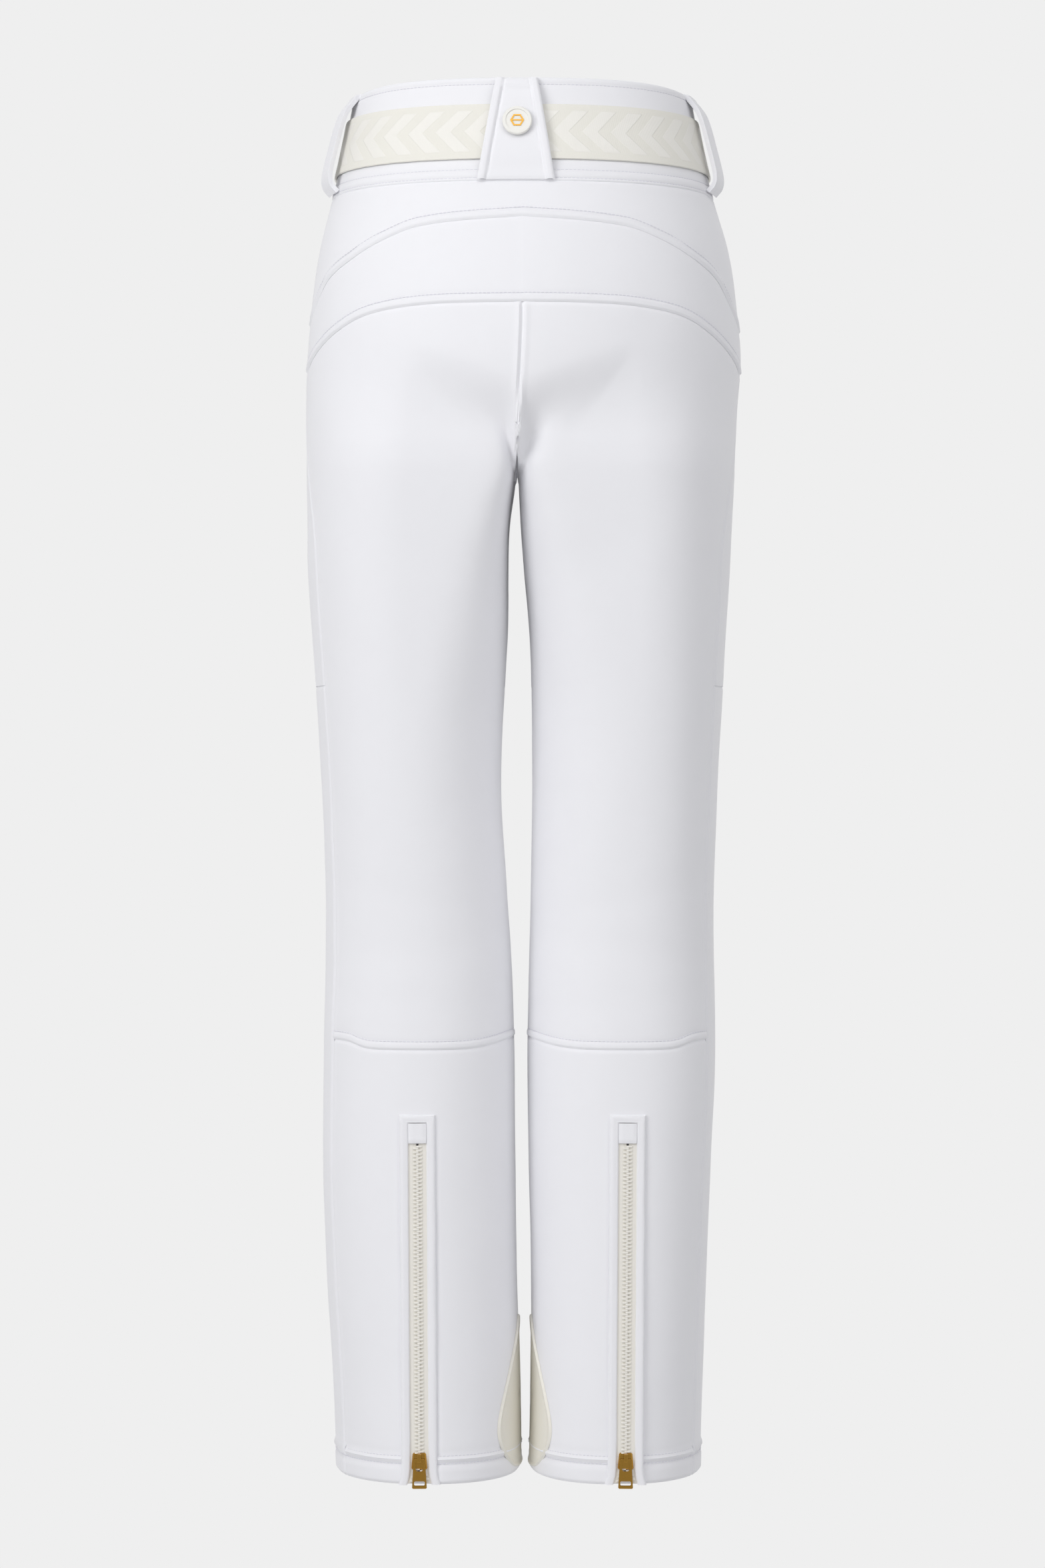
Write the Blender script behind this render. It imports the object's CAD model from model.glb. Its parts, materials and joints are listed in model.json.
import bpy
import bmesh
import json
from math import acos, asin, ceil, cos, exp, hypot, pi, radians, sin
from mathutils import Matrix, Vector, noise


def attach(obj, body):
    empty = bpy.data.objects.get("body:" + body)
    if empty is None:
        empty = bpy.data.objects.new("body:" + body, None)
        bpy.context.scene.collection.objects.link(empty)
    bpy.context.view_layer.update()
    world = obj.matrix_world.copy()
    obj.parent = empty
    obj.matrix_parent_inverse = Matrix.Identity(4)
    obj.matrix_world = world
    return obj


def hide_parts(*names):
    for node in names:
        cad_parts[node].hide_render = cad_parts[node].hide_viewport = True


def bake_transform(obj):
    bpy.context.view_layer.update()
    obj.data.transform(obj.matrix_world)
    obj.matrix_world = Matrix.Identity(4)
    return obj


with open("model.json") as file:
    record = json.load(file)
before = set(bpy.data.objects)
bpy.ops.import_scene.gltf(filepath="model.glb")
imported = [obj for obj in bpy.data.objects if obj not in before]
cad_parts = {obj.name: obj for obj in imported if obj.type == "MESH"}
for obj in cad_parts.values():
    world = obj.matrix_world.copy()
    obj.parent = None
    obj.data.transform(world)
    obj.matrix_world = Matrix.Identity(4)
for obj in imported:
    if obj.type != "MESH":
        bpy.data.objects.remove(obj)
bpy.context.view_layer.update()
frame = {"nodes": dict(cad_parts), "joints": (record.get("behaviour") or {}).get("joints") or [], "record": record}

# Women's softshell ski pants. Lengths are in metres, in the frame's own axes:
# +Z up, +Y to the wearer's front, x < 0 the wearer's left. SIDES holds each leg's sign and name.
MM = 0.001
SIDES = ((-1, "left"), (1, "right"))
FULL = 2 * pi

# ---------------------------------------------------------------- sizes of the garment
FABRIC = 1.5 * MM
STITCH_PITCH = 3.1 * MM
STITCH_RISE = 0.12 * MM
WAIST_SEAM_Z = -75 * MM
# The two yoke seams: distance from the centre back, height.
YOKE_TOP = [(0, -103), (77, -109), (106, -118.5), (130, -131), (148, -144), (158, -160), (170, -185)]
YOKE_LOW = [(0, -168.5), (66, -169), (95, -171), (118, -175), (135, -182), (154, -195), (172, -214)]
# Where the hips start to part into legs, and how much lower that is between the legs.
SEAT_TOP_Z = -185 * MM
SEAT_DROP = 40 * MM
# The saddle between the legs: its top, the roundness of its curve and how narrow it is.
SADDLE_TOP_Z = -258 * MM
SADDLE_SQUARE = 2.4
SADDLE_REACH = 14
CROTCH_Z = -290 * MM
CROTCH_VEER = 4 * MM
# How far the side seams turn to the back, in radians.
SEAM_SWING = 0.52
SPLIT_Z = -450 * MM
CALF_SEAM_Z = -720 * MM
HEM_Z = -1052 * MM

# Hips: height, left side, right side, depth to the front, depth to the back.
HIPS = [
    (0, 131, 131, 92, 100), (-38, 138.5, 138.5, 97, 107), (-75, 147, 147.5, 104, 118),
    (-114, 156.5, 158.5, 110, 131), (-156, 162.5, 164.5, 114, 140), (-197, 166, 168, 114, 143),
    (-238, 167, 166, 111, 139), (-279, 167.5, 164, 106, 131), (-300, 167.5, 163, 103, 126),
]
HIP_SQUARE = 2.3

# Legs: height, left outer, left inner, right inner, right outer, front, back, squareness inside.
LEGS = [
    (-270, 167, 0.8, 0.6, 164, 99, 124, 13), (-290, 167, 2, 1.2, 163.5, 98, 122, 12),
    (-320, 166.5, 6, 2.6, 162, 96, 117, 8), (-362, 166, 9, 4, 160, 95, 110, 4.8),
    (-444, 160.5, 14, 7, 155.5, 92, 98, 2.7), (-527, 155, 17.5, 8, 151, 86, 88, 2.2),
    (-610, 152, 13, 7, 148, 84, 80, 2.2), (-651, 152, 10, 6, 148, 83, 78, 2.2),
    (-733, 153.5, 7, 4.5, 149, 78, 79, 2.2), (-816, 154, 6, 5, 145.5, 75, 81, 2.2),
    (-898, 151, 4.5, 6.5, 142, 74, 83, 2.2), (-981, 146, 2, 6.5, 139, 75, 85, 2.2),
    (-1052, 143, 1.5, 5.5, 137, 77, 87, 2.2),
]
LEG_SQUARE = 2.2

# Where cloth turns over the hip and the knee.
HIP_BEND = (Vector((0, 0, -0.216)), Vector((0, 0, -0.400)))
KNEE_BEND = (Vector((0, 0, -0.575)), Vector((0, 0, -0.745)))


def smooth(t):
    t = min(max(t, 0.0), 1.0)
    return t * t * (3 - 2 * t)


def bump(d, centre, width):
    """A soft ridge, 1 at its centre."""
    return exp(-(((d - centre) / width) ** 2))


def plateau(d, start, end, edge):
    """A flat ridge from start to end with rounded shoulders."""
    return smooth((d - start) / edge + 0.5) * (1 - smooth((d - end) / edge + 0.5))


def along_curve(points, x):
    """A smooth curve through listed points, of any number of columns, however unevenly they are spaced."""
    last = len(points) - 1
    i = 0
    while i < last - 1 and (x - points[i + 1][0]) * (points[-1][0] - points[0][0]) > 0:
        i += 1
    before, start, end, after = (points[min(max(i + k, 0), last)] for k in (-1, 0, 1, 2))
    span = end[0] - start[0]
    t = min(max((x - start[0]) / span, 0.0), 1.0)
    values = []
    for p0, p1, p2, p3 in zip(before[1:], start[1:], end[1:], after[1:]):
        leaving = (p2 - p0) / (end[0] - before[0]) * span
        arriving = (p3 - p1) / (after[0] - start[0]) * span
        second = 3 * (p2 - p1) - 2 * leaving - arriving
        third = 2 * (p1 - p2) + leaving + arriving
        values.append(p1 + t * (leaving + t * (second + t * third)))
    return values


def seam_height(points, side, turn):
    """The height of a yoke seam where it crosses one lane of the hips."""
    z = -0.15
    for _ in range(3):
        across = min(abs(hip_point(side, turn, z).x) / MM, points[-1][0])
        z = along_curve(points, across)[0] * MM
    return z


def power(value, square):
    return abs(value) ** (2 / square) * (1 if value >= 0 else -1)


# ---------------------------------------------------------------- the body that the cloth hangs on
def hip_point(side, turn, z):
    """On the hips, half by half. turn 0 is the centre front, pi the side, 2 pi the centre back."""
    left, right, front, back = along_curve(HIPS, z / MM)
    share = (1 - cos(turn)) / 2
    rest = max(1 - share ** HIP_SQUARE, 0) ** (1 / HIP_SQUARE)
    across = side * (left if side < 0 else right) * share
    depth = (front if turn <= pi else -back) * rest
    return Vector((across, depth, z / MM)) * MM


def leg_point(side, turn, z):
    """On one leg. turn 0 and 2 pi are the inseam, a half pi the front, pi the outer side."""
    outer_l, inner_l, inner_r, outer_r, front, back, square = along_curve(LEGS, z / MM)
    outer, inner = (outer_l, inner_l) if side < 0 else (outer_r, inner_r)
    across = (outer - inner) / 2 * power(cos(turn), square if cos(turn) > 0 else LEG_SQUARE)
    square_deep = LEG_SQUARE + (square - LEG_SQUARE) * 0.35 if cos(turn) > 0 else LEG_SQUARE
    depth = (front if turn <= pi else back) * power(sin(turn), square_deep)
    return Vector((side * ((outer + inner) / 2 - across), depth, z / MM)) * MM


def shape_point(side, turn, z):
    """Hips above, leg below. Between them the outer side blends slowly, and the saddle
    between the legs closes just above the crotch."""
    if z >= SEAT_TOP_Z:
        return hip_point(side, turn, z)
    if z <= CROTCH_Z:
        return leg_point(side, turn, z)
    seat_top = SEAT_TOP_Z - SEAT_DROP * ((1 + cos(turn)) / 2) ** 2
    slow = smooth((seat_top - z) / (seat_top - CROTCH_Z))
    t = min(max((SADDLE_TOP_Z - z) / (SADDLE_TOP_Z - CROTCH_Z), 0), 1)
    saddle = 1 - (1 - t ** SADDLE_SQUARE) ** (1 / SADDLE_SQUARE)
    inner = ((1 + cos(turn)) / 2) ** SADDLE_REACH
    return hip_point(side, turn, z).lerp(leg_point(side, turn, z), slow + (saddle - slow) * inner)


def body_point(side, turn, z):
    """The wearer's shape. Below the hips its side seams run a little to the back,
    and its crotch veers to the wearer's left."""
    swing = SEAM_SWING * smooth((-0.20 - z) / 0.16) * smooth(1 - abs(turn - pi) / 1.3)
    at = shape_point(side, turn + swing, z)
    at.x -= CROTCH_VEER * smooth((-0.17 - z) / 0.11) * smooth((z + 0.42) / 0.10) * ((1 + cos(turn)) / 2) ** 3
    return at


def outward(side, turn, z):
    """The direction out of the cloth."""
    step = 0.01
    low, high = max(turn - step, 1e-4), min(turn + step, FULL - 1e-4)
    around = body_point(side, high, z) - body_point(side, low, z)
    down = body_point(side, turn, z - 2 * MM) - body_point(side, turn, z + 2 * MM)
    return (around.cross(down) * side).normalized()


def folds(side, turn, z):
    """The cloth's broad, soft hang: long drapes, light pulls at the crotch and behind the knee."""
    at = body_point(side, turn, z)
    drape = noise.noise(Vector((at.x * 13 + side, at.y * 13, at.z * 2.6))) * 1.3
    small = noise.noise(Vector((at.x * 34, at.y * 34 + 5, at.z * 19 + side))) * 0.35
    back = smooth(-at.y / 0.03)
    seat = 0.7 * bump(at.z + 0.36 - 0.5 * (abs(at.x) - 0.05), 0, 0.03) * bump(abs(at.x), 0.05, 0.04) * back
    knee = 0.0
    for rise, tilt, height in ((-0.612, 0.22, 0.35), (-0.652, -0.16, 0.45), (-0.690, 0.12, 0.3)):
        knee += height * bump(at.z - tilt * (abs(at.x) - 0.08), rise, 0.012) * back
    return (drape + small - seat - knee) * MM * smooth((-0.085 - z) / 0.05)


# ---------------------------------------------------------------- mesh helpers
# Edges that turn by more than this look sharp.
SHARP_ANGLE = radians(48)


def finish_mesh(name, verts, faces, uvs, material, solid=FABRIC):
    """Makes a cloth mesh with its own UV map in metres, and gives it thickness inward."""
    mesh = bpy.data.meshes.new(name)
    mesh.from_pydata(verts, [], faces)
    layer = mesh.uv_layers.new(name="cloth")
    for loop in mesh.loops:
        layer.data[loop.index].uv = uvs[loop.vertex_index]
    mesh.materials.append(material)
    mesh.polygons.foreach_set("use_smooth", [True] * len(mesh.polygons))
    thing = bpy.data.objects.new(name, mesh)
    bpy.context.scene.collection.objects.link(thing)
    if solid:
        wall = thing.modifiers.new("thickness", "SOLIDIFY")
        wall.thickness = solid
        wall.offset = -1
        wall.use_even_offset = False
        walled = thing.evaluated_get(bpy.context.evaluated_depsgraph_get())
        thing.data = bpy.data.meshes.new_from_object(walled)
        thing.modifiers.clear()
        bpy.data.meshes.remove(mesh)
    thing.data.set_sharp_from_angle(angle=SHARP_ANGLE)
    return thing


def grid_faces(rows, columns, flip, closed=False):
    faces = []
    for r in range(rows - 1):
        for c in range(columns if closed else columns - 1):
            n = (c + 1) % columns
            quad = (r * columns + c, r * columns + n, (r + 1) * columns + n, (r + 1) * columns + c)
            faces.append(quad[::-1] if flip else quad)
    return faces


def spread(length, step):
    """Shares from 0 to 1 along a length, closely spaced at both ends, where seams are."""
    near = [n * MM / length for n in (0, 0.7, 1.4, 2.2, 3.2, 4.4, 5.6, 6.6, 7.6, 9, 11.5)]
    count = max(int(ceil((length - 2 * near[-1] * length) / step)), 1)
    middle = [near[-1] + (1 - 2 * near[-1]) * i / count for i in range(1, count)]
    return near + middle + [1 - n for n in reversed(near)]


def running(points):
    """Distances along a line of points."""
    total = [0.0]
    for a, b in zip(points, points[1:]):
        total.append(total[-1] + (b - a).length)
    return total


def sheet_area(grid):
    """The cut area of a panel, from its surface before any fold is put in."""
    area = 0.0
    for upper, lower in zip(grid, grid[1:]):
        for a, b, c, d in zip(upper, upper[1:], lower[1:], lower):
            area += ((c - a).cross(d - b)).length / 2
    return area


def lane_of(side, start, end):
    """A panel of one half, from one turn to another."""
    return lambda share: (side, start + (end - start) * share)


def lane_across_back(share):
    """A panel in one piece across the back, from the left side to the right."""
    return (-1, pi * (1 + 2 * share)) if share < 0.5 else (1, pi * (3 - 2 * share))


def panel(name, lane, top, bottom, relief, material, step=4 * MM, width=0.24):
    """A cloth panel between two edges of its lane and two seams. relief gives the cloth's rise
    from the distances to the top, bottom, first and last edges and the place.
    Returns the object, its flat width and length, and its cut area."""
    centre = lane(0.45)
    rows, columns = spread(top(*centre) - bottom(*centre), step), spread(width, step)
    places = []
    for down in rows:
        line = [lane(share) for share in columns]
        places.append([(s, t, top(s, t) + (bottom(s, t) - top(s, t)) * down) for s, t in line])
    base = [[body_point(*place) for place in line] for line in places]
    across = [running(line) for line in base]
    downs = [running([line[c] for line in base]) for c in range(len(columns))]
    verts, uvs = [], []
    for r, line in enumerate(places):
        for c, place in enumerate(line):
            edges = (downs[c][r], downs[c][-1] - downs[c][r], across[r][c], across[r][-1] - across[r][c])
            rise = relief(*[d / MM for d in edges], base[r][c]) * MM + folds(*place)
            verts.append(base[r][c] + outward(*place) * rise)
            uvs.append((across[r][c] - across[r][-1] / 2, -downs[c][r]))
    cloth = finish_mesh(name, verts, grid_faces(len(rows), len(columns), lane(0)[0] < 0), uvs, material)
    flat = (max(line[-1] for line in across), max(line[-1] for line in downs))
    return cloth, flat, sheet_area(base)


def hang(made, nodes, body=None, bend=None):
    """Declares a panel as a sheet, and makes it follow its body or bend across a joint."""
    cloth, flat, area = made
    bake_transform(cloth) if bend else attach(cloth, body)
    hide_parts(*nodes)


# ---------------------------------------------------------------- materials
def colour(code):
    """A linear colour from an sRGB hex code."""
    parts = [int(code[i : i + 2], 16) / 255 for i in (0, 2, 4)]
    return [p / 12.92 if p <= 0.04045 else ((p + 0.055) / 1.055) ** 2.4 for p in parts] + [1.0]


def add_node(tree, kind, links=(), **settings):
    """Adds a shader node, sets its properties, and links or fills its inputs."""
    made = tree.nodes.new(kind)
    for key, value in settings.items():
        setattr(made, key, value)
    for socket, source in links:
        if isinstance(source, bpy.types.NodeSocket):
            tree.links.new(source, made.inputs[socket])
        else:
            made.inputs[socket].default_value = source
    return made


def surface(name, base, roughness, metallic=0.0, sheen=0.0, specular=0.5):
    """A new material with its main shader's constants set."""
    material = bpy.data.materials.new(name)
    material.use_nodes = True
    shader = material.node_tree.nodes["Principled BSDF"]
    for socket, value in (
        ("Base Color", colour(base)), ("Roughness", roughness), ("Metallic", metallic),
        ("Sheen Weight", sheen), ("Sheen Roughness", 0.45), ("Specular IOR Level", specular),
    ):
        shader.inputs[socket].default_value = value
    return material


# One band of the wave pattern at a scale of 1, in metres.
WAVE_PERIOD = 0.314
# Loose fibres are drawn about a millimetre apart, coarser than real ones, so that they show.
# The cloth's tone drifts over some 17 mm.
FIBRE_SCALE = 900.0
TONE_SCALE = 60.0


def weave(material, pitch, strength, distance, mottle=0.0):
    """A fine woven relief on the cloth's own UV map: two crossed sets of threads under loose fibres."""
    tree = material.node_tree
    shader = tree.nodes["Principled BSDF"]
    flat = add_node(tree, "ShaderNodeUVMap", uv_map="cloth").outputs["UV"]
    heights = []
    for direction in ("X", "Y"):
        links = [("Vector", flat), ("Scale", WAVE_PERIOD / pitch), ("Distortion", 0.6), ("Detail", 1.0)]
        threads = add_node(tree, "ShaderNodeTexWave", links, bands_direction=direction)
        heights.append(threads.outputs["Fac"])
    cloth = add_node(tree, "ShaderNodeMath", [(0, heights[0]), (1, heights[1])], operation="MULTIPLY")
    fuzz = add_node(tree, "ShaderNodeTexNoise", [("Vector", flat), ("Scale", FIBRE_SCALE), ("Detail", 3.0)])
    links = [(0, cloth.outputs[0]), (1, fuzz.outputs["Fac"])]
    height = add_node(tree, "ShaderNodeMath", links, operation="ADD")
    links = [("Height", height.outputs[0]), ("Strength", strength), ("Distance", distance)]
    relief = add_node(tree, "ShaderNodeBump", links)
    tree.links.new(relief.outputs["Normal"], shader.inputs["Normal"])
    if mottle:
        links = [("Vector", flat), ("Scale", TONE_SCALE), ("Detail", 2.0)]
        cloudy = add_node(tree, "ShaderNodeTexNoise", links)
        links = [("Value", cloudy.outputs["Fac"]), ("To Min", 1 - mottle), ("To Max", 1.0)]
        tone = add_node(tree, "ShaderNodeMapRange", links)
        base = tuple(shader.inputs["Base Color"].default_value)
        links = [(0, base[:3]), ("Scale", tone.outputs[0])]
        mix = add_node(tree, "ShaderNodeVectorMath", links, operation="SCALE")
        tree.links.new(mix.outputs[0], shader.inputs["Base Color"])


# White bonded softshell: a dense matte polyester face with a faint cool tint and a soft nap.
softshell = surface("softshell, white, matte", "f6f6f9", 0.82, sheen=0.5, specular=0.3)
weave(softshell, 0.42 * MM, 0.25, 0.06 * MM, mottle=0.012)
# Plain woven lining and pocketing, off-white.
lining = surface("lining, off-white, plain weave", "dddbdc", 0.75, specular=0.3)
weave(lining, 0.5 * MM, 0.3, 0.06 * MM)
# Twisted sewing thread, white, slightly shiny.
thread = surface("sewing thread, white", "e6e5ec", 0.55, sheen=0.2)
# Cream elastic webbing with a tone-on-tone woven relief.
webbing = surface("elastic webbing, cream", "efede2", 0.6, sheen=0.2, specular=0.4)
# Coated reinforcement cloth, warm off-white.
guard_cloth = surface("coated edge guard, cream", "f1eee4", 0.6, specular=0.4)
weave(guard_cloth, 0.5 * MM, 0.2, 0.05 * MM)
# Zip tape, cream, closely woven.
tape_cloth = surface("zip tape, cream", "f1eee6", 0.8, specular=0.3)
weave(tape_cloth, 0.55 * MM, 0.5, 0.09 * MM)
# Moulded acetal teeth, cream, satin.
teeth_plastic = surface("moulded teeth, cream", "f5f2ea", 0.4)
# Press-stud cap, ivory enamel on metal.
snap_enamel = surface("press-stud cap, ivory enamel", "f3f2ec", 0.28)
# Polished gold-plated zinc.
gold = surface("gold plating, polished", "c99a45", 0.2, metallic=1.0)

# The webbing's chevrons: from the middle of a gap to the middle of the next band, where the band's
# soft edge starts and ends, and how far from the middle the plain borders' soft edge runs.
CHEVRON_BEAT = 11 * MM
CHEVRON_EDGES = (4.6 * MM, 5.6 * MM)
BORDER_EDGES = (16.4 * MM, 15.6 * MM)
RIB_PITCH = 0.8 * MM


def webbing_relief(material):
    """Rows of chevrons between two plain borders, raised on fine upright ribs."""
    tree = material.node_tree
    shader = tree.nodes["Principled BSDF"]
    flat = add_node(tree, "ShaderNodeUVMap", uv_map="cloth").outputs["UV"]
    parts = add_node(tree, "ShaderNodeSeparateXYZ", [(0, flat)])
    rise = add_node(tree, "ShaderNodeMath", [(0, parts.outputs["Y"])], operation="ABSOLUTE")
    slant = add_node(tree, "ShaderNodeMath", [(0, parts.outputs["X"]), (1, rise.outputs[0])], operation="ADD")
    beat = add_node(tree, "ShaderNodeMath", [(0, slant.outputs[0]), (1, CHEVRON_BEAT)], operation="PINGPONG")
    links = [("Value", beat.outputs[0]), ("From Min", CHEVRON_EDGES[0]), ("From Max", CHEVRON_EDGES[1])]
    band = add_node(tree, "ShaderNodeMapRange", links, interpolation_type="SMOOTHSTEP")
    links = [("Value", rise.outputs[0]), ("From Min", BORDER_EDGES[0]), ("From Max", BORDER_EDGES[1])]
    inside = add_node(tree, "ShaderNodeMapRange", links)
    links = [(0, band.outputs[0]), (1, inside.outputs[0])]
    pattern = add_node(tree, "ShaderNodeMath", links, operation="MULTIPLY").outputs[0]
    links = [("Vector", flat), ("Scale", WAVE_PERIOD / RIB_PITCH)]
    ribs = add_node(tree, "ShaderNodeTexWave", links, bands_direction="X")
    fine = add_node(tree, "ShaderNodeMath", [(0, ribs.outputs["Fac"]), (1, 0.28)], operation="MULTIPLY")
    height = add_node(tree, "ShaderNodeMath", [(0, pattern), (1, fine.outputs[0])], operation="ADD")
    links = [("Height", height.outputs[0]), ("Strength", 0.55), ("Distance", 0.45 * MM)]
    relief = add_node(tree, "ShaderNodeBump", links)
    links = [("Factor", pattern), ("A", colour("f2f0e7")), ("B", colour("f7f5ee"))]
    tone = add_node(tree, "ShaderNodeMix", links, data_type="RGBA")
    tree.links.new(relief.outputs["Normal"], shader.inputs["Normal"])
    tree.links.new(tone.outputs["Result"], shader.inputs["Base Color"])
    gloss = add_node(tree, "ShaderNodeMapRange", [("Value", pattern), ("To Min", 0.68), ("To Max", 0.42)])
    tree.links.new(gloss.outputs[0], shader.inputs["Roughness"])


webbing_relief(webbing)


# ---------------------------------------------------------------- zips: planes from the joints
JOINTS = {joint["name"]: joint for joint in frame["joints"]}
HEM_LENGTH = 277.5 * MM
POCKET_LENGTH = 140 * MM
# Half the opening that shows the teeth, and the width of the cloth frame around it.
WINDOW = 6.8 * MM
TOP_BAR = 6 * MM
# Where each slider's pull hinges: along the zip from its open end, and above the zip's plane.
HEM_BAR = 19 * MM
POCKET_BAR = 18.1 * MM
BAR_RISE = 0.55 * MM
# How deep each zip frame sits in the cloth, in millimetres.
HEM_DENT = 5.6
POCKET_DENT = 6.8
TOOTH_PITCH = 2.9 * MM


def zip_place(slide, swing, bar, sign):
    """Where a zip lies: its origin at the open end, x across, y along it and z out of the cloth."""
    along = Vector(JOINTS[slide]["axis"]).normalized()
    across = Vector(JOINTS[swing]["axis"]).normalized() * sign
    out = across.cross(along).normalized()
    origin = Vector(JOINTS[swing]["pos_m"]) - along * bar - out * BAR_RISE
    turned = Matrix((across, along, out)).transposed().to_4x4()
    turned.translation = origin
    return turned


def zip_dent(place, length, deep):
    """How far the cloth drops under a zip frame, for a point of the panel."""
    back = place.inverted()

    def drop(at):
        local = back @ at
        inside = plateau(abs(local.x) / MM, -1, 11.5, 2) * plateau(local.y / MM, -30, length / MM - 4, 3)
        return (-deep - local.z / MM) * inside if inside > 0.001 and abs(local.z) < 0.03 else 0.0

    return drop


# ---------------------------------------------------------------- the legs
# Reliefs are in millimetres, and so are the distances to a panel's edges.
SEAM_GROOVE = 0.9


def side_edges(d_first, d_last):
    """The long seams of a panel: a narrow groove at each edge and a low swell beside it."""
    grooves = bump(d_first, 0, 1.2) + bump(d_last, 0, 1.2)
    swells = bump(d_first, 3.2, 1.6) + bump(d_last, 3.2, 1.6)
    return -SEAM_GROOVE * grooves + 0.5 * swells


def front_relief(drop):
    """Below the waistband's seam, over the pocket zip's dent."""

    def relief(d_top, d_bottom, d_first, d_last, at):
        return side_edges(d_first, d_last) + drop(at) - SEAM_GROOVE * bump(d_top, 0, 1.6)

    return relief


def seat_relief(d_top, d_bottom, d_first, d_last, at):
    """Below the lower yoke seam, with the centre-back seam's corded edge on the left half."""
    corded = 0.9 * bump(d_last, 2.4, 1.6) * (1 if at.x < 0 and at.z > -0.30 else 0.3)
    return side_edges(d_first, d_last) - SEAM_GROOVE * bump(d_top, 0, 1.6) + corded


def knee_relief(d_top, d_bottom, d_first, d_last, at):
    """Above the calf seam: a stitched ridge that rises just over the seam."""
    ridge = (
        0.7 * plateau(d_bottom, 0.9, 5.6, 1.6)
        - SEAM_GROOVE * bump(d_bottom, 0, 1.0)
        - 0.4 * bump(d_bottom, 6.8, 0.9)
    )
    return side_edges(d_first, d_last) + ridge


def hem_relief(drop):
    """From the seam above, over the zip's dent, down to the stitched tunnel and the turned hem."""

    def relief(d_top, d_bottom, d_first, d_last, at):
        seam = -SEAM_GROOVE * bump(d_top, 0, 1.4)
        tunnel = (
            1.3 * plateau(d_bottom, 16.1, 20.4, 1.4)
            - SEAM_GROOVE * bump(d_bottom, 21.6, 1.1)
            - SEAM_GROOVE * bump(d_bottom, 15.0, 1.1)
        )
        turned = 0.7 * plateau(d_bottom, 1.2, 14.4, 2.4) - SEAM_GROOVE * bump(d_bottom, 0, 1.2)
        return side_edges(d_first, d_last) + seam + tunnel + turned + drop(at)

    return relief


def level(z):
    return lambda side, turn: z


def calf_seam(side, turn):
    """The calf seam dips toward the middle of the back."""
    return CALF_SEAM_Z - 6 * MM * smooth(-sin(turn)) ** 2


def yoke_low(side, turn):
    return seam_height(YOKE_LOW, side, turn)


def yoke_top(side, turn):
    return seam_height(YOKE_TOP, side, turn)


hem_places, pocket_places = {}, {}
for side, name in SIDES:
    hem_places[name] = zip_place(f"hem_zip_slide_{name}", f"hem_pull_swing_{name}", HEM_BAR, -1)
    pocket_places[name] = zip_place(f"pocket_zip_slide_{name}", f"pocket_pull_swing_{name}", POCKET_BAR, 1)
    over_hip = ("waist", f"thigh_{name}") + HIP_BEND
    over_knee = (f"thigh_{name}", f"calf_{name}") + KNEE_BEND
    back, front = lane_of(side, pi, FULL), lane_of(side, 0, pi)
    back_dent = zip_dent(hem_places[name], HEM_LENGTH, HEM_DENT)
    front_dent = zip_dent(pocket_places[name], POCKET_LENGTH, POCKET_DENT)
    hang(
        panel(f"back_leg_upper_{name}", back, yoke_low, level(SPLIT_Z), seat_relief, softshell),
        [f"seat_back_{name}", f"thigh_back_{name}"],
        bend=over_hip,
    )
    hang(
        panel(f"back_leg_lower_{name}", back, level(SPLIT_Z), calf_seam, knee_relief, softshell),
        [f"knee_back_{name}"],
        bend=over_knee,
    )
    calf_relief = hem_relief(back_dent)
    hang(
        panel(f"calf_back_{name}", back, calf_seam, level(HEM_Z), calf_relief, softshell, step=3.6 * MM),
        [f"calf_back_{name}"],
        bend=over_knee,
    )
    hip_relief = front_relief(front_dent)
    hang(
        panel(f"front_leg_upper_{name}", front, level(WAIST_SEAM_Z), level(SPLIT_Z), hip_relief, softshell),
        [f"hip_front_{name}", f"thigh_front_{name}"],
        bend=over_hip,
    )
    shin_relief = hem_relief(lambda at: 0.0)
    hang(
        panel(f"front_leg_lower_{name}", front, level(SPLIT_Z), level(HEM_Z), shin_relief, softshell),
        [f"shin_front_{name}"],
        bend=over_knee,
    )


# ---------------------------------------------------------------- the yokes
YOKE_STEP = 3.2 * MM


def above_yoke_seam(d_top, d_bottom, d_first, d_last, at):
    """A stitched tunnel just above the seam, which sits in a sharp groove."""
    pucker = 0.16 * sin(at.x / MM * 0.55) * bump(d_bottom, 6.6, 2.5)
    tunnel = 0.9 * plateau(d_bottom, 0.9, 5.8, 1.5) - 0.55 * bump(d_bottom, 6.9, 0.9)
    seams = 0.7 * bump(d_bottom, 0, 0.8)
    return tunnel + pucker - seams - SEAM_GROOVE * bump(d_top, 0, 1.6) + side_edges(d_first, d_last)


waist_seam = level(WAIST_SEAM_Z)
across = lane_across_back
upper = panel("yoke_upper", across, waist_seam, yoke_top, above_yoke_seam, softshell, YOKE_STEP, width=0.46)
hang(upper, ["back_yoke_upper"], body="waist")
lower = panel("yoke_band", across, yoke_top, yoke_low, above_yoke_seam, softshell, YOKE_STEP, width=0.48)
hang(lower, ["back_yoke_band"], body="waist")


# ---------------------------------------------------------------- strips around and on the waist
def stand_off(side, turn, z, offset):
    """A point a little way out of the cloth, in millimetres of offset."""
    return body_point(side, turn, z) + outward(side, turn, z) * offset * MM


def back_lane(x):
    """The lane of the hips' back at a distance from the centre line."""
    side = -1 if x < 0 else 1
    half = along_curve(HIPS, -36)[0 if side < 0 else 1] * MM
    return side, FULL - acos(max(1 - 2 * abs(x) / half, -1))


def front_lane(x):
    side, turn = back_lane(x)
    return side, FULL - turn


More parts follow.
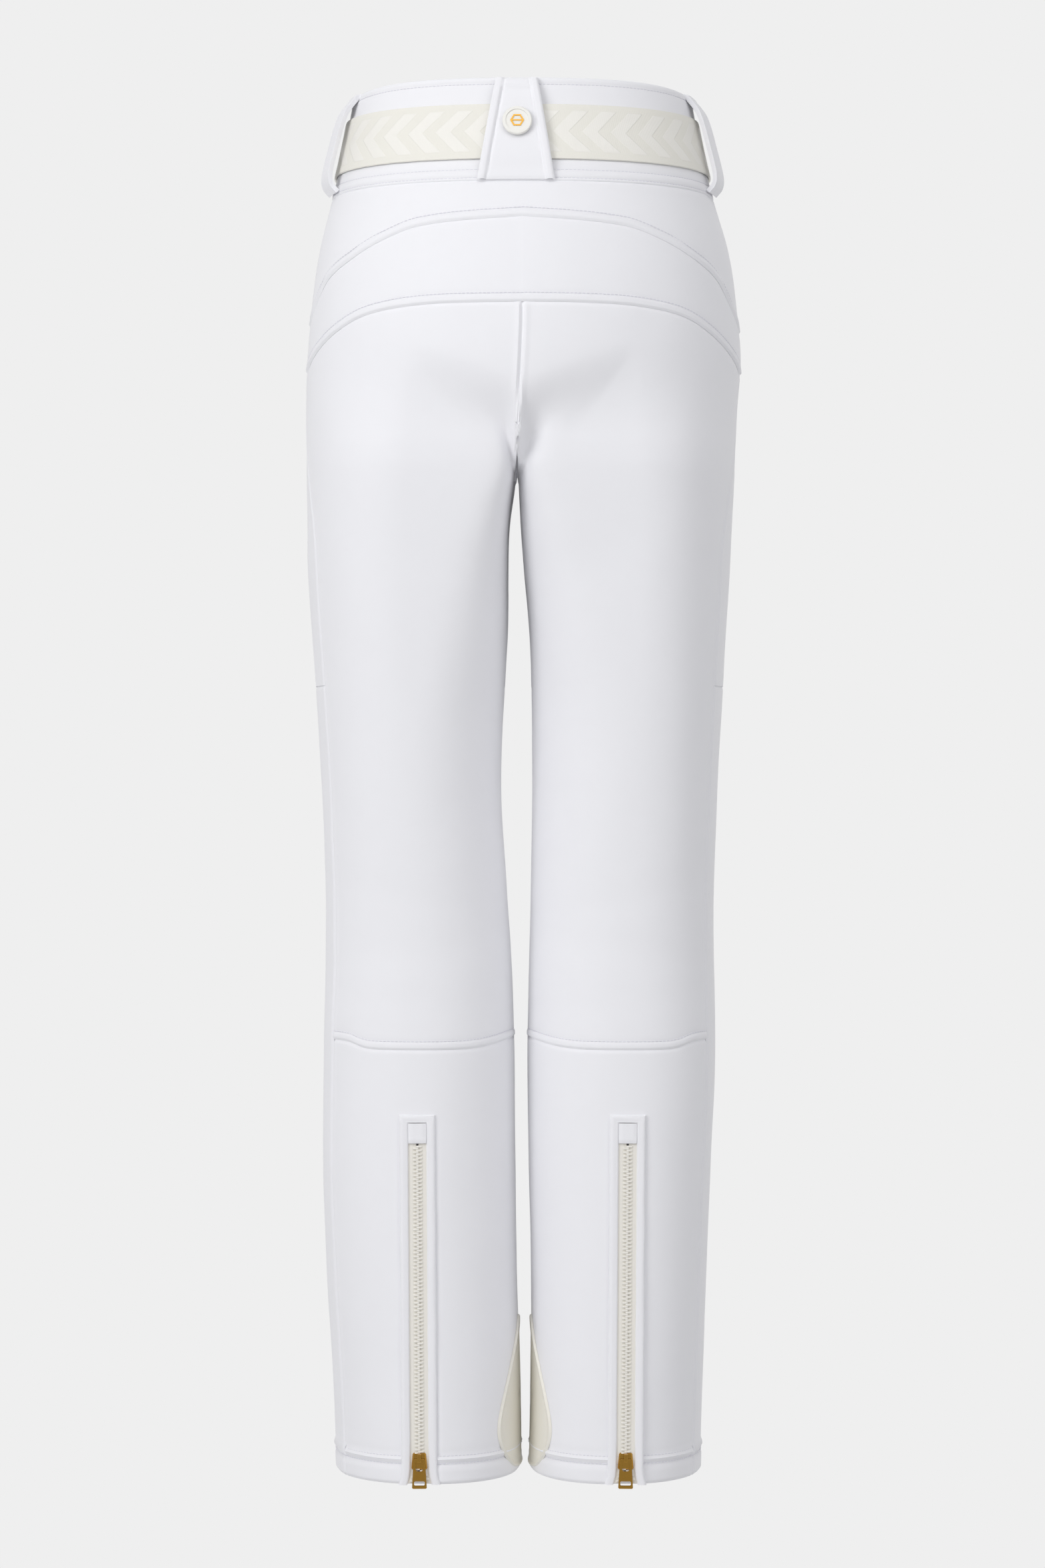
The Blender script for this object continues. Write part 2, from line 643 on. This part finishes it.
def waist_lanes(right_x, left_x, count):
    """Lanes around the back, from a place right of the centre front to one left of it."""
    start, end = front_lane(right_x)[1], front_lane(left_x)[1]
    right = [(1, start + (FULL - start) * i / count) for i in range(count + 1)]
    left = [(-1, FULL + (end - FULL) * i / count) for i in range(1, count + 1)]
    return right + left


def closed_strip(name, lanes, profile, material, rise=lambda at, z: 0.0, middle=0.0):
    """A thick strip around the waist, from a closed profile of offsets and heights in millimetres."""
    verts, uvs, gone = [], [], 0.0
    before = None
    for lane in lanes:
        here = body_point(*lane, middle * MM)
        gone += (here - before).length if before else 0.0
        before = here
        for offset, height in profile:
            z = (height + rise(here, height)) * MM
            verts.append(stand_off(*lane, z, offset))
            uvs.append((gone, (height - middle) * MM))
    count = len(profile)
    faces = grid_faces(len(lanes), count, False, closed=True)
    faces += [tuple(range(count)), tuple(range((len(lanes) - 1) * count, len(lanes) * count))]
    strip = finish_mesh(name, verts, faces, uvs, material, solid=0)
    face_outward(strip)
    return strip, gone


def face_outward(thing):
    whole = bmesh.new()
    whole.from_mesh(thing.data)
    bmesh.ops.recalc_face_normals(whole, faces=whole.faces)
    whole.to_mesh(thing.data)
    whole.free()
    thing.data.set_sharp_from_angle(angle=SHARP_ANGLE)


def band_rise(at, height):
    """The waistband stands a little higher at the back than at the front."""
    lift = 4 * smooth(-at.y / 0.1) - 4 * smooth(at.y / 0.09)
    return lift * smooth((height + 16) / 16)


# Profiles list how far out of the cloth and how high each corner is, in millimetres.
BAND_PROFILE = [
    (-1.0, -75.4), (0.1, -74.8), (0.3, -74), (-0.25, -73.2), (0.5, -72.4), (0.8, -70), (0.5, -67.6),
    (-0.3, -66.8), (0.1, -66), (0, -62), (0, -50), (0, -38), (0, -26), (0, -14), (0, -7), (0.1, -5),
    (-0.25, -4), (0.3, -3),
    (0.2, -1.2), (-0.4, 0), (-1.4, 0.5), (-2.4, 0), (-3, -2), (-3, -12), (-3, -38), (-3, -62), (-3, -75),
]
BAND_MIDDLE = -38
band_lanes = waist_lanes(0.6 * MM, -0.6 * MM, 92)
band, band_length = closed_strip("waistband", band_lanes, BAND_PROFILE, softshell, band_rise, BAND_MIDDLE)
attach(band, "waist")
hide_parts("waistband_outer", "waistband_lining")

BELT_MIDDLE = -37.7
BELT_PROFILE = [
    (0.6, -58.8), (0.6, -48), (0.6, -38), (0.6, -27), (0.6, -16.8), (1.4, -16.4), (2.2, -16.8),
    (2.4, -19), (2.4, -27), (2.4, -38), (2.4, -48), (2.4, -56.5), (2.2, -58.8), (1.4, -59.2),
]
belt_lanes = waist_lanes(20 * MM, -20 * MM, 80)
belt, belt_length = closed_strip("belt_webbing", belt_lanes, BELT_PROFILE, webbing, middle=BELT_MIDDLE)
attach(belt, "waist")
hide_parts("belt_webbing")


LOOP_MIDDLE_Z = -36 * MM
# The spacing of a loop's rows and columns, in millimetres.
LOOP_ROW = 1.6
LOOP_COLUMN = 1.1


def loop_strip(name, lane, profile, half_width, relief, thick):
    """A belt loop: a strip whose offset follows its height, as wide as half_width says."""
    top, bottom = profile[0][0], profile[-1][0]
    count = int(ceil((top - bottom) / LOOP_ROW))
    widest = max(half_width(top), half_width(bottom))
    count_across = int(2 * widest / LOOP_COLUMN)
    columns = [c / count_across for c in range(count_across + 1)]
    verts, uvs, centre_line = [], [], []
    side, turn = lane
    ahead, behind = (body_point(side, turn + way * 0.02, LOOP_MIDDLE_Z) for way in (1, -1))
    sideways = (ahead - behind).normalized()
    out = outward(side, turn, LOOP_MIDDLE_Z)
    for r in range(count + 1):
        height = top + (bottom - top) * r / count
        offset = along_curve(profile, height)[0]
        centre = body_point(side, turn, height * MM) + out * offset * MM
        centre_line.append(centre)
        for share in columns:
            across = (2 * share - 1) * half_width(height)
            edge = half_width(height) - abs(across)
            lift = relief(edge, top - height, height - bottom, across)
            verts.append(centre + sideways * across * MM + out * lift * MM)
            uvs.append((across * MM, height * MM))
    faces = grid_faces(count + 1, len(columns), side < 0)
    strip = finish_mesh(name, verts, faces, uvs, softshell, solid=thick)
    mean = half_width(top) + half_width(bottom)
    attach(strip, "waist")
    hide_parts(name)


def corded(edge, from_top, to_bottom, across):
    """The centre loop's relief: thick cords along both slanted edges and a folded collar on top."""
    curve = -0.00045 * across * across
    cord = 1.7 * plateau(edge, 0.5, 5.8, 2.4) - 0.5 * bump(edge, 7.0, 0.8)
    collar = 1.1 * plateau(from_top, 3, 9.5, 1.2) - 0.6 * bump(from_top, 10.6, 0.8)
    return cord + collar * (1 - plateau(edge, -2, 6, 1)) + curve - 0.8 * bump(to_bottom, 0, 1)


def ribbed(edge, from_top, to_bottom, across):
    """A stitched strip: rounded edges and a groove inside each."""
    return 0.5 * plateau(edge, 0.6, 50, 1.4) - 0.45 * bump(edge, 3.4, 0.7) - 0.35 * bump(edge, 8.6, 0.8)


# Profiles of the loops: height, how far out of the cloth, in millimetres.
CENTRE_PROFILE = [
    (4.6, -1.6), (4.0, 1.6), (-1, 3.2), (-8, 5.0), (-16, 6.2),
    (-30, 6.8), (-46, 6.8), (-58, 5.6), (-66, 3.6), (-75, 2.0),
]
SIDE_PROFILE = [
    (2.2, -1.4), (1.6, 1.4), (-1, 2.6), (-6, 5.4), (-13, 8.4), (-24, 10.2),
    (-38, 11.0), (-54, 11.4), (-64, 10.6), (-70.5, 7.4), (-74.5, 1.8),
]
FRONT_PROFILE = [
    (1.0, -1.4), (0.6, 1.4), (-4, 3), (-12, 5.4), (-26, 6.4), (-46, 6.4), (-60, 5.4), (-68, 2.8), (-71, 1.2),
]
CENTRE_LOOP_X = -4.6 * MM
SIDE_LOOP_TURN = 3.44
FRONT_LOOP_TURN = 1.886


def centre_half_width(height):
    """The centre loop widens from 31 mm at the top to 58 mm at its foot."""
    return 15.5 + 13.5 * (4.6 - height) / 79.6


centre_lane = back_lane(CENTRE_LOOP_X)
loop_strip("centre_back_loop", centre_lane, CENTRE_PROFILE, centre_half_width, corded, 1.6 * MM)
for side, name in SIDES:
    side_lane, front = (side, SIDE_LOOP_TURN), (side, FRONT_LOOP_TURN)
    loop_strip(f"side_loop_{name}", side_lane, SIDE_PROFILE, lambda height: 14, ribbed, 3.6 * MM)
    loop_strip(f"front_loop_{name}", front, FRONT_PROFILE, lambda height: 9, ribbed, 2.0 * MM)


# ---------------------------------------------------------------- the fly
def fly_cover():
    """The placket over the front zip, with its rounded lower corner."""
    columns, rows = 20, 60
    verts, uvs = [], []
    for r in range(rows + 1):
        for c in range(columns + 1):
            x = (-20 + 36 * c / columns) * MM
            bottom = -248 + 24 * smooth(x / (16 * MM)) ** 2
            z = (-75.6 + (bottom + 75.6) * r / rows) * MM
            edge = min(c, columns - c, 3) / 3
            lift = 2.6 - 0.5 * (1 - edge) + 0.3 * plateau(c, 2, 5, 1)
            verts.append(stand_off(*front_lane(x), z, lift))
            uvs.append((x, z))
    faces = grid_faces(rows + 1, columns + 1, False)
    return finish_mesh("fly_placket", verts, faces, uvs, softshell, solid=1.4 * MM)


placket = fly_cover()
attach(placket, "waist")
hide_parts("fly_placket")


# ---------------------------------------------------------------- zip frames, tapes and teeth
# A zip frame's section: how far from the opening, how high, in millimetres.
WELT_PROFILE = [
    (0, -5.5), (0, -1.2), (0.5, -0.45), (1.5, -0.1), (2.6, -0.2), (3.4, 0.0),
    (4.6, 0.0), (5.6, -0.3), (6.3, -0.8), (6.7, -1.8), (6.7, -5.5),
]
FRAME_DROP = 0.4


def zip_frame(name, place, length, bar, first_bar, body):
    """The welted cloth frame around a zip, mitred at its corners. One without a first bar
    splays at the hem."""
    ups = [length * i / 44 for i in range(45)]
    verts, uvs = [], []
    path = [(1, u) for u in ups] + [(-1, u) for u in reversed(ups)]
    for way, up in path:
        for out, height in WELT_PROFILE:
            edge = out / WELT_PROFILE[-1][0]
            y = max(min(up, length - bar + edge * bar), first_bar * (1 - edge))
            splay = 2.4 * max(1 - y / (13 * MM), 0) ** 2 if not first_bar else 0.0
            wave = noise.noise(Vector((way * 3.0, y * 40, out))) * 0.18
            x = way * (WINDOW + (out + splay + wave) * MM)
            verts.append(place @ Vector((x, y, (height - FRAME_DROP + wave) * MM)))
            uvs.append((way * (WINDOW + out * MM), y))
    count = len(WELT_PROFILE)
    faces = []
    turns = len(path) if first_bar else len(path) - 1
    for r in range(turns):
        for c in range(count):
            n, m = (c + 1) % count, (r + 1) % len(path)
            faces.append((r * count + c, r * count + n, m * count + n, m * count + c))
    if not first_bar:
        faces += [tuple(range(count)), tuple(range((len(path) - 1) * count, len(path) * count))]
    frame_cloth = finish_mesh(name, verts, faces, uvs, softshell, solid=0)
    face_outward(frame_cloth)
    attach(frame_cloth, body)
    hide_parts(name)


def zip_tape(name, place, start, end, body):
    """Two woven tapes with a corded inner edge; below the slider each leaves the middle."""
    verts, uvs, faces = [], [], []
    rows = 60
    for way in (-1, 1):
        first = len(verts)
        for r in range(rows + 1):
            y = start + (end - start) * r / rows
            part = 3.2 * max(1 - (y - start) / (13 * MM), 0) ** 2
            for c in range(9):
                out = 0.9 + part + 11.6 * c / 8
                cord = 0.6 * bump(out - part, 4.3, 0.8)
                verts.append(place @ Vector((way * out * MM, y, (-3.1 + cord) * MM)))
                uvs.append((way * out * MM, y))
        block = grid_faces(rows + 1, 9, way > 0)
        faces += [tuple(first + v for v in face) for face in block]
    tape = finish_mesh(name, verts, faces, uvs, tape_cloth, 0.6 * MM)
    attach(tape, body)


def select_only(thing):
    for other in bpy.context.selected_objects:
        other.select_set(False)
    thing.select_set(True)
    bpy.context.view_layer.objects.active = thing


TOOTH_SIZE = (4.3 * MM, 1.44 * MM, 2.6 * MM)


def tooth_row(name, way, start, count, open_teeth):
    """One side's moulded teeth: a bevelled block, repeated up the tape. The lowest ones spread apart
    over the length of open_teeth."""
    bpy.ops.mesh.primitive_cube_add(size=1)
    tooth = bpy.context.active_object
    tooth.name = name
    select_only(tooth)
    bpy.ops.object.mode_set(mode="EDIT")
    bpy.ops.mesh.select_all(action="SELECT")
    bpy.ops.transform.resize(value=TOOTH_SIZE)
    bpy.ops.mesh.bevel(offset=0.32 * MM, segments=2, affect="EDGES")
    bpy.ops.transform.translate(value=(way * 1.25 * MM, start, -2.3 * MM))
    bpy.ops.object.mode_set(mode="OBJECT")
    rows = tooth.modifiers.new("rows", "ARRAY")
    rows.use_relative_offset = False
    rows.use_constant_offset = True
    rows.constant_offset_displace = (0, TOOTH_PITCH, 0)
    rows.count = count
    bpy.ops.object.modifier_apply(modifier="rows")
    if open_teeth:
        for vertex in tooth.data.vertices:
            vertex.co.x += way * 3.4 * MM * max(1 - (vertex.co.y - start) / open_teeth, 0) ** 2
    return tooth


def zip_teeth(name, place, start, end, open_teeth, body, chain):
    """Both sides' teeth, one side half a tooth further on than the other."""
    count = int((end - start) / TOOTH_PITCH)
    left = tooth_row(name, -1, start, count, open_teeth)
    right = tooth_row(name + "_right", 1, start + TOOTH_PITCH / 2, count, open_teeth)
    select_only(left)
    right.select_set(True)
    bpy.ops.object.join()
    left.data.transform(place)
    left.data.materials.append(teeth_plastic)
    bpy.ops.object.shade_smooth_by_angle(angle=radians(40))
    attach(left, body)
    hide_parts(chain)


def zip_garage(name, place, length, bar, body):
    """The little cloth patch that the slider parks under."""
    columns, rows = 14, 14
    verts, uvs = [], []
    for r in range(rows + 1):
        for c in range(columns + 1):
            x = (-6.7 + 13.4 * c / columns) * MM
            y = length - bar - 0.2 * MM - 14.8 * MM * r / rows
            rim = min(c, columns - c, rows - r)
            puff = 0.7 * smooth(rim / 3) + 0.25 * plateau(rows - r, 1, 3.2, 1)
            verts.append(place @ Vector((x, y, (-1.5 + puff) * MM)))
            uvs.append((x, y))
    faces = grid_faces(rows + 1, columns + 1, False)
    patch = finish_mesh(name, verts, faces, uvs, softshell, solid=0.9 * MM)
    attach(patch, body)
    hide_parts(name)


for side, name in SIDES:
    place, calf = hem_places[name], f"calf_{name}"
    teeth_top = HEM_LENGTH - 20 * MM
    zip_frame(f"hem_zip_welt_{name}", place, HEM_LENGTH, TOP_BAR, 0.0, calf)
    zip_tape(f"hem_zip_tape_{name}", place, 1 * MM, HEM_LENGTH - 4 * MM, calf)
    zip_teeth(f"hem_zip_teeth_{name}", place, 3 * MM, teeth_top, 15 * MM, calf, f"hem_zip_chain_{name}")
    zip_garage(f"hem_zip_garage_{name}", place, HEM_LENGTH, TOP_BAR, calf)
    place = pocket_places[name]
    teeth_top = POCKET_LENGTH - 6 * MM
    zip_frame(f"pocket_welt_{name}", place, POCKET_LENGTH, TOP_BAR, TOP_BAR, "waist")
    zip_tape(f"pocket_zip_tape_{name}", place, 4 * MM, POCKET_LENGTH - 4 * MM, "waist")
    zip_teeth(f"pocket_zip_teeth_{name}", place, 21 * MM, teeth_top, 0, "waist", f"pocket_zip_chain_{name}")


# ---------------------------------------------------------------- edge guards inside the ankles
# The guard's middle and outline: place to the front, height, in millimetres.
# A curved crease crosses it, on a circle of this centre and radius.
GUARD_MIDDLE = (-6, -998)
GUARD_ARC = (60, -985, 78)
GUARD_EDGE = [
    (-6, -934), (24, -958), (46, -992), (51, -1020), (36, -1043),
    (-4, -1049), (-42, -1045), (-60, -1022), (-54, -992), (-34, -958),
]
GUARD_RINGS = [0, 0.25, 0.45, 0.62, 0.76, 0.82, 0.86, 0.9, 0.93, 0.955, 0.975, 0.99, 1.0]


def guard_edge(share):
    """A closed smooth outline through the listed points."""
    count = len(GUARD_EDGE)
    place = share * count
    i = int(place) % count
    t = place - int(place)
    near = [GUARD_EDGE[(i + k) % count] for k in (-1, 0, 1, 2)]
    blend = []
    for p0, p1, p2, p3 in zip(*near):
        second = 2 * p0 - 5 * p1 + 4 * p2 - p3
        third = -p0 + 3 * p1 - 3 * p2 + p3
        blend.append(p1 + 0.5 * t * (p2 - p0 + t * (second + t * third)))
    return blend


def inner_turn(y, z):
    """The lane at a depth on a leg's inner side."""
    front, back = along_curve(LEGS, z / MM)[4:6]
    depth = (front if y > 0 else back) * MM
    angle = asin(min(abs(y) / depth, 1) ** (LEG_SQUARE / 2))
    return angle if y > 0 else FULL - max(angle, 1e-3)


def guard(side, name):
    """A leaf of coated cloth over the inner ankle, with a raised bead around its edge."""
    spokes = 96
    verts, uvs = [], []
    for ring in GUARD_RINGS:
        for spoke in range(spokes):
            edge = guard_edge(spoke / spokes)
            y, z = (m + (e - m) * ring for m, e in zip(GUARD_MIDDLE, edge))
            gap = (1 - ring) * hypot(edge[0] - GUARD_MIDDLE[0], edge[1] - GUARD_MIDDLE[1])
            bead = 0.9 * plateau(gap, 0.5, 2.6, 1.2)
            lift = 1.0 + bead - 0.8 * bump(gap, 0, 0.6) - 0.3 * bump(gap, 4.0, 0.8)
            arc = abs(hypot(y - GUARD_ARC[0], z - GUARD_ARC[1]) - GUARD_ARC[2])
            lift -= 0.35 * bump(arc, 0, 1.2) * smooth((gap - 3) / 3)
            turn = inner_turn(y * MM, z * MM)
            hang_out = outward(side, turn, z * MM) * folds(side, turn, z * MM)
            verts.append(stand_off(side, turn, z * MM, lift) + hang_out)
            uvs.append((y * MM, z * MM))
    # The ring of points at the middle has no faces: one face closes the ring around it.
    faces = grid_faces(len(GUARD_RINGS), spokes, False, closed=True)[spokes:]
    faces.append(tuple(range(spokes, 2 * spokes))[::-1])
    if side > 0:
        faces = [face[::-1] for face in faces]
    patch = finish_mesh(f"edge_guard_{name}", verts, faces, uvs, guard_cloth, solid=1.0 * MM)
    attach(patch, f"calf_{name}")
    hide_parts(f"edge_guard_{name}")


for side, name in SIDES:
    guard(side, name)


# ---------------------------------------------------------------- inner gaiters
def gaiter(side, name):
    """A light sleeve inside the ankle, gathered on its elastic at the bottom."""
    rows, columns = 36, 140
    verts, uvs = [], []
    for r in range(rows + 1):
        z = (-868 - 172 * r / rows) * MM
        for c in range(columns):
            turn = 1e-3 + (FULL - 2e-3) * c / columns
            gather = 1.1 * smooth((-0.96 - z) / 0.06) * sin(c * 0.9 + 0.6 * sin(c * 0.37))
            inset = -9.4 + gather
            verts.append(stand_off(side, turn, z, inset))
            uvs.append((c / columns * 0.42, z))
    faces = grid_faces(rows + 1, columns, side < 0, closed=True)
    sleeve = finish_mesh(f"snow_gaiter_{name}", verts, faces, uvs, lining, 0.6 * MM)
    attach(sleeve, f"calf_{name}")
    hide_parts(f"snow_gaiter_{name}")


for side, name in SIDES:
    gaiter(side, name)


# ---------------------------------------------------------------- topstitching
def stitch_rows(name, rows, body=None, bend=None):
    """Thread laid along rows of points and normals, one small six-sided grain for each stitch."""
    verts, faces = [], []
    for row in rows:
        gone = running([point for point, _ in row])
        count = int(gone[-1] / STITCH_PITCH)
        i = 0
        for k in range(count):
            wanted = (k + 0.5) * STITCH_PITCH
            while i < len(gone) - 2 and gone[i + 1] < wanted:
                i += 1
            share = (wanted - gone[i]) / max(gone[i + 1] - gone[i], 1e-9)
            (a, normal_a), (b, normal_b) = row[i], row[i + 1]
            centre, up = a.lerp(b, share), normal_a.lerp(normal_b, share).normalized()
            ahead = (b - a).normalized()
            aside = up.cross(ahead)
            first = len(verts)
            for reach, size in ((-1.15, 0.12), (-0.75, 0.3), (0.75, 0.3), (1.15, 0.12)):
                for spoke in range(6):
                    turn = FULL * spoke / 6
                    verts.append(centre + (ahead * reach + (aside * cos(turn) + up * sin(turn)) * size) * MM)
            for ring in range(3):
                for spoke in range(6):
                    n = (spoke + 1) % 6
                    a0, b0 = first + ring * 6 + spoke, first + ring * 6 + n
                    faces.append((a0, b0, b0 + 6, a0 + 6))
            faces += [tuple(first + s for s in range(5, -1, -1)), tuple(first + 18 + s for s in range(6))]
    seams = finish_mesh(name, verts, faces, [(0, 0)] * len(verts), thread, solid=0)
    face_outward(seams)
    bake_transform(seams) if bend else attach(seams, body)


def row_of(lanes, height):
    """A row of stitches over the cloth's folds: height gives z for each lane."""
    row = []
    for lane in lanes:
        z = height(*lane)
        out = outward(*lane, z)
        row.append((body_point(*lane, z) + out * (folds(*lane, z) + STITCH_RISE), out))
    return row


def steps(lane, count):
    return [lane(i / count) for i in range(count + 1)]


waist_rows = [row_of(steps(lane_across_back, 150), lambda s, t: yoke_top(s, t) + 6.9 * MM),
              row_of(steps(lane_across_back, 150), lambda s, t: yoke_low(s, t) + 6.9 * MM)]
for height in (-4, -66.8, -73.2):
    ring = []
    for lane in waist_lanes(2 * MM, -2 * MM, 164):
        here = body_point(*lane, -0.038)
        z = (height + band_rise(here, height)) * MM
        out = outward(*lane, z)
        ring.append((body_point(*lane, z) + out * (-0.05 * MM), out))
    waist_rows.append(ring)
stitch_rows("topstitch_waist", waist_rows, body="waist")
for side, name in SIDES:
    around = steps(lane_of(side, 1e-3, FULL - 1e-3), 160)
    calf_rows = [row_of(around, level(HEM_Z + rise * MM)) for rise in (15.4, 21.2)]
    stitch_rows(f"topstitch_hem_{name}", calf_rows, body=f"calf_{name}")
    over_knee = (f"thigh_{name}", f"calf_{name}") + KNEE_BEND
    seam_rows = [row_of(steps(lane_of(side, pi, FULL), 90), lambda s, t: calf_seam(s, t) + 6.6 * MM)]
    stitch_rows(f"topstitch_knee_{name}", seam_rows, bend=over_knee)


# ---------------------------------------------------------------- hardware finishes
FINISHES = {
    "gold_metal": gold, "snap_plastic": snap_enamel, "lining": lining, "elastic": lining,
    "zip_chain": teeth_plastic,
}
SLOT_OF = {part["node"]: part["material_slot"] for part in frame["record"]["subparts"]}
for node_name, thing in frame["nodes"].items():
    if SLOT_OF[node_name] in FINISHES:
        finish = FINISHES[SLOT_OF[node_name]]
        if finish is lining:
            # These nodes have no UV map for the weave, so theirs is a plain cloth.
            finish = surface("pocketing, off-white", "dddbdc", 0.75)
        for place in thing.material_slots:
            place.material = finish


# ---------------------------------------------------------------- the camera, the backdrop and the light
VIEW_DISTANCE = 3.1
VIEW_HEIGHT = -0.525
PICTURE_HEIGHT = 1.2136

camera = bpy.data.cameras.new("camera")
camera.sensor_fit = "VERTICAL"
camera.sensor_height = 36
camera.lens = 36 * VIEW_DISTANCE / PICTURE_HEIGHT
camera_object = bpy.data.objects.new("camera", camera)
camera_object.location = (0, -VIEW_DISTANCE, VIEW_HEIGHT)
camera_object.rotation_euler = (radians(90), 0, 0)
bpy.context.scene.collection.objects.link(camera_object)
bpy.context.scene.camera = camera_object
bpy.context.scene.view_settings.view_transform = "Standard"

# The backdrop glows evenly, as paper lit on its own does.
glow = bpy.data.materials.new("backdrop paper, lit, light grey")
glow.use_nodes = True
paper = glow.node_tree.nodes["Principled BSDF"]
paper.inputs["Base Color"].default_value = (0, 0, 0, 1)
paper.inputs["Specular IOR Level"].default_value = 0.0
paper.inputs["Emission Color"].default_value = colour("efefef")
paper.inputs["Emission Strength"].default_value = 1.0
floor_paper = surface("floor paper, light grey, matte", "dedede", 0.9)
for name, location, turned in (("backdrop", (0, 4.8, -0.5), 90), ("floor", (0, 0, -2.15), 0)):
    bpy.ops.mesh.primitive_plane_add(size=24, location=location, rotation=(radians(turned), 0, 0))
    sweep = bpy.context.active_object
    sweep.name = name
    sweep.data.materials.append(glow if name == "backdrop" else floor_paper)


def area_light(name, location, target, size, watts):
    light = bpy.data.lights.new(name, "AREA")
    light.shape = "RECTANGLE"
    light.size, light.size_y = size
    light.energy = watts
    lamp = bpy.data.objects.new(name, light)
    lamp.location = location
    lamp.rotation_euler = (Vector(target) - Vector(location)).to_track_quat("-Z", "Y").to_euler()
    bpy.context.scene.collection.objects.link(lamp)


middle = (0, 0, -0.45)
area_light("key", (-1.8, -2.1, 0.5), middle, (1.3, 1.8), 31)
area_light("fill", (1.8, -2.6, 0.3), middle, (1.5, 2.0), 9)
area_light("top", (0.1, -2.0, 1.5), (0, 0, -0.1), (2.0, 1.2), 10)

# Soft light from all around, stronger from above than from below.
world = bpy.data.worlds.new("studio")
world.use_nodes = True
room = world.node_tree
place = add_node(room, "ShaderNodeTexCoord")
parts = add_node(room, "ShaderNodeSeparateXYZ", [(0, place.outputs["Generated"])])
links = [
    ("Value", parts.outputs["Z"]), ("From Min", -0.8), ("From Max", 0.8), ("To Min", 0.22), ("To Max", 0.60),
]
level_light = add_node(room, "ShaderNodeMapRange", links)
room.nodes["Background"].inputs["Color"].default_value = colour("f6f6f9")
room.links.new(level_light.outputs[0], room.nodes["Background"].inputs["Strength"])
bpy.context.scene.world = world
